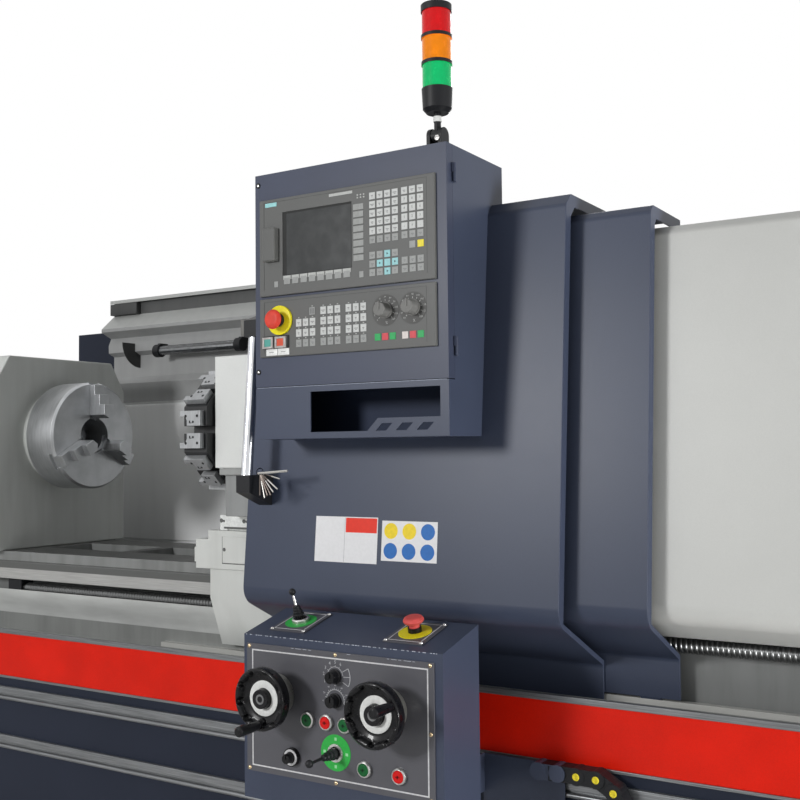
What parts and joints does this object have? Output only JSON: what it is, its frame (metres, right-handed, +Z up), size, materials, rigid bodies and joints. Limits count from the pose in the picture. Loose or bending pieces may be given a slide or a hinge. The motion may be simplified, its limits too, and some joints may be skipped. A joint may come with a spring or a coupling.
{
  "type": "cnc turning lathe",
  "caption": "Flat-bed turning lathe with a carriage-mounted control box, console, sliding guards, tool turret and tower light.",
  "frame": {"origin": "on the floor below the middle of the machine's bounding box", "axes": "+X along the spindle axis from the headstock to the tailstock, -Y towards the operator, +Z up"},
  "size_m": [3.4, 1.39, 2.086],
  "materials": {
    "navy_paint": "satin dark blue-grey powder coat",
    "light_grey_paint": "satin light grey enamel",
    "red_paint": "gloss red enamel",
    "rail_aluminium": "extruded aluminium",
    "grey_iron": "cast iron with ground ways",
    "steel": "machined steel",
    "chrome": "chrome plated",
    "black_oxide": "blackened steel",
    "black_plastic": "black plastic",
    "grip_plastic": "gloss black plastic",
    "panel_grey": "dark grey panel foil on a frame",
    "key_grey": "light grey key pads",
    "screen_glass": "dark display pane",
    "fascia": "dark printed plate",
    "bezel_metal": "turned aluminium",
    "red_plastic": "gloss red plastic",
    "green_plastic": "gloss green plastic",
    "lens_plastic": "coloured lens plastic between black rings"
  },
  "bodies": {
    "machine": {"base_stand": "navy_paint", "chip_tray": "light_grey_paint", "front_band": "red_paint", "front_trims": "rail_aluminium", "bed": "grey_iron", "headstock": "light_grey_paint", "end_cover": "navy_paint", "splash_guard": "light_grey_paint", "work_lamp": "black_plastic", "guard_inner": "light_grey_paint", "feed_drive": "black_oxide"},
    "spindle": {"spindle": "steel", "chuck_body": "steel"},
    "jaw_1": {"chuck_jaw_1": "steel"},
    "jaw_2": {"chuck_jaw_2": "steel"},
    "jaw_3": {"chuck_jaw_3": "steel"},
    "feed_screw": {"feed_screw": "steel"},
    "tailstock": {"tailstock_body": "light_grey_paint"},
    "quill": {"tailstock_quill": "steel"},
    "tail_wheel": {"tailstock_wheel": "black_plastic"},
    "guard_middle": {"guard_middle": "navy_paint"},
    "carriage": {"saddle": "light_grey_paint", "guard_front": "navy_paint", "pull_handle": "chrome", "box_shell": "navy_paint", "console_box": "navy_paint", "console_plates": "fascia", "button_bezels": "bezel_metal", "tower_foot": "black_plastic", "cable_chain": "black_plastic"},
    "cross_slide": {"cross_slide": "steel", "turret_housing": "light_grey_paint"},
    "turret": {"turret_disc": "black_oxide", "turret_clamps": "steel"},
    "door": {"box_door": "navy_paint", "panel_bezels": "panel_grey", "screen_glass": "screen_glass", "panel_keys": "key_grey"},
    "override_feed": {"override_knob_feed": "black_plastic"},
    "override_speed": {"override_knob_speed": "black_plastic"},
    "panel_stop": {"panel_estop": "red_plastic"},
    "lit_green": {"lit_button_green": "green_plastic"},
    "lit_red": {"lit_button_red": "red_plastic"},
    "tower": {"tower_light": "lens_plastic"},
    "wheel_left": {"handwheel_left": "grip_plastic"},
    "wheel_right": {"handwheel_right": "grip_plastic"},
    "grip_left": {"grip_left": "grip_plastic"},
    "grip_right": {"grip_right": "grip_plastic"},
    "speed_upper": {"speed_knob_upper": "black_plastic"},
    "speed_lower": {"speed_knob_lower": "black_plastic"},
    "selector": {"selector_knob": "black_plastic"},
    "gimbal": {"joystick_gimbal": "steel"},
    "feed_stick": {"panel_joystick": "black_plastic"},
    "spindle_lever": {"top_joystick": "black_plastic"},
    "console_stop": {"console_estop": "red_plastic"},
    "button_green_left": {"button_green_left": "green_plastic"},
    "button_red_left": {"button_red_left": "red_plastic"},
    "button_green_right": {"button_green_right": "green_plastic"},
    "button_green_low": {"button_green_low": "green_plastic"},
    "button_red_low": {"button_red_low": "red_plastic"}
  },
  "joints": [
    {"name": "spindle_spin", "type": "hinge", "parent": "machine", "child": "spindle", "pos_m": [-1, 0, 1.255], "axis": [1, 0, 0], "continuous": true},
    {"name": "jaw_1_slide", "type": "slide", "parent": "spindle", "child": "jaw_1", "axis": [0, 0, 1], "range_m": [-0.03, 0.0075]},
    {"name": "jaw_2_slide", "type": "slide", "parent": "spindle", "child": "jaw_2", "axis": [0, -0.866, -0.5], "range_m": [-0.03, 0.0075]},
    {"name": "jaw_3_slide", "type": "slide", "parent": "spindle", "child": "jaw_3", "axis": [0, 0.866, -0.5], "range_m": [-0.03, 0.0075]},
    {"name": "carriage_slide", "type": "slide", "parent": "machine", "child": "carriage", "axis": [1, 0, 0], "range_m": [-0.45, 0.35]},
    {"name": "feed_screw_spin", "type": "hinge", "parent": "machine", "child": "feed_screw", "pos_m": [0, -0.172, 0.821], "axis": [1, 0, 0], "continuous": true},
    {"name": "guard_middle_slide", "type": "slide", "parent": "machine", "child": "guard_middle", "axis": [1, 0, 0], "range_m": [-0.225, 0.175]},
    {"name": "tailstock_slide", "type": "slide", "parent": "machine", "child": "tailstock", "axis": [1, 0, 0], "range_m": [-0.25, 0.2]},
    {"name": "tail_wheel_spin", "type": "hinge", "parent": "tailstock", "child": "tail_wheel", "pos_m": [1.2, 0, 1.255], "axis": [-1, 0, 0], "range_deg": [0, 7200]},
    {"name": "quill_slide", "type": "slide", "parent": "tailstock", "child": "quill", "axis": [-1, 0, 0], "range_m": [0, 0.12]},
    {"name": "cross_slide_feed", "type": "slide", "parent": "carriage", "child": "cross_slide", "axis": [0, 1, 0], "range_m": [-0.02, 0.16]},
    {"name": "turret_index", "type": "hinge", "parent": "cross_slide", "child": "turret", "pos_m": [-0.178, -0.2, 1.255], "axis": [1, 0, 0], "continuous": true},
    {"name": "door_hinge", "type": "hinge", "parent": "carriage", "child": "door", "pos_m": [0.6469, -0.47685, 1.5], "axis": [0, 0, 1], "range_deg": [0, 100]},
    {"name": "override_feed_turn", "type": "hinge", "parent": "door", "child": "override_feed", "pos_m": [0.5088, -0.506, 1.469], "axis": [0, -1, 0], "range_deg": [-135, 135]},
    {"name": "override_speed_turn", "type": "hinge", "parent": "door", "child": "override_speed", "pos_m": [0.5703, -0.506, 1.47], "axis": [0, -1, 0], "range_deg": [-135, 135]},
    {"name": "panel_stop_push", "type": "slide", "parent": "door", "child": "panel_stop", "axis": [0, 1, 0], "range_m": [0, 0.005]},
    {"name": "lit_green_push", "type": "slide", "parent": "door", "child": "lit_green", "axis": [0, 1, 0], "range_m": [0, 0.003], "stiffness_N_per_m": 300},
    {"name": "lit_red_push", "type": "slide", "parent": "door", "child": "lit_red", "axis": [0, 1, 0], "range_m": [0, 0.003], "stiffness_N_per_m": 300},
    {"name": "tower_fold", "type": "hinge", "parent": "carriage", "child": "tower", "pos_m": [0.568, -0.4, 1.822], "axis": [1, 0, 0], "range_deg": [-90, 0]},
    {"name": "wheel_left_spin", "type": "hinge", "parent": "carriage", "child": "wheel_left", "pos_m": [0.298, -0.56, 0.7335], "axis": [0, -1, 0], "continuous": true},
    {"name": "grip_left_spin", "type": "hinge", "parent": "wheel_left", "child": "grip_left", "pos_m": [0.298, -0.635, 0.6865], "axis": [0, -1, 0], "continuous": true},
    {"name": "wheel_right_spin", "type": "hinge", "parent": "carriage", "child": "wheel_right", "pos_m": [0.552, -0.56, 0.7335], "axis": [0, -1, 0], "continuous": true},
    {"name": "grip_right_spin", "type": "hinge", "parent": "wheel_right", "child": "grip_right", "pos_m": [0.595, -0.635, 0.7555], "axis": [0, -1, 0], "continuous": true},
    {"name": "speed_upper_turn", "type": "hinge", "parent": "carriage", "child": "speed_upper", "pos_m": [0.425, -0.56, 0.7774], "axis": [0, -1, 0], "range_deg": [-135, 135]},
    {"name": "speed_lower_turn", "type": "hinge", "parent": "carriage", "child": "speed_lower", "pos_m": [0.425, -0.56, 0.7325], "axis": [0, -1, 0], "range_deg": [-135, 135]},
    {"name": "selector_turn", "type": "hinge", "parent": "carriage", "child": "selector", "pos_m": [0.324, -0.56, 0.615], "axis": [0, -1, 0], "range_deg": [0, 90]},
    {"name": "button_green_left_push", "type": "slide", "parent": "carriage", "child": "button_green_left", "axis": [0, 1, 0], "range_m": [0, 0.004], "stiffness_N_per_m": 300},
    {"name": "button_red_left_push", "type": "slide", "parent": "carriage", "child": "button_red_left", "axis": [0, 1, 0], "range_m": [0, 0.004], "stiffness_N_per_m": 300},
    {"name": "button_green_right_push", "type": "slide", "parent": "carriage", "child": "button_green_right", "axis": [0, 1, 0], "range_m": [0, 0.004], "stiffness_N_per_m": 300},
    {"name": "button_green_low_push", "type": "slide", "parent": "carriage", "child": "button_green_low", "axis": [0, 1, 0], "range_m": [0, 0.004], "stiffness_N_per_m": 300},
    {"name": "button_red_low_push", "type": "slide", "parent": "carriage", "child": "button_red_low", "axis": [0, 1, 0], "range_m": [0, 0.004], "stiffness_N_per_m": 300},
    {"name": "feed_gimbal_turn", "type": "hinge", "parent": "carriage", "child": "gimbal", "pos_m": [0.4254, -0.554, 0.6358], "axis": [0, 0, 1], "range_deg": [-11, 11]},
    {"name": "feed_stick_tilt", "type": "hinge", "parent": "gimbal", "child": "feed_stick", "pos_m": [0.4254, -0.554, 0.6358], "axis": [1, 0, 0], "range_deg": [-11, 11]},
    {"name": "spindle_lever_tilt", "type": "hinge", "parent": "carriage", "child": "spindle_lever", "pos_m": [0.288, -0.48439, 0.84616], "axis": [1, 0, 0], "range_deg": [-12, 12]},
    {"name": "console_stop_push", "type": "slide", "parent": "carriage", "child": "console_stop", "axis": [0, 0.2375, -0.9714], "range_m": [0, 0.005]}
  ],
  "couplings": [
    {"joint": "jaw_2_slide", "follows": "jaw_1_slide", "ratio": 1},
    {"joint": "jaw_3_slide", "follows": "jaw_1_slide", "ratio": 1},
    {"joint": "guard_middle_slide", "follows": "carriage_slide", "ratio": 0.5},
    {"joint": "feed_screw_spin", "follows": "carriage_slide", "rad_per_m": 628.32},
    {"joint": "tail_wheel_spin", "follows": "quill_slide", "rad_per_m": 1047.1}
  ]
}
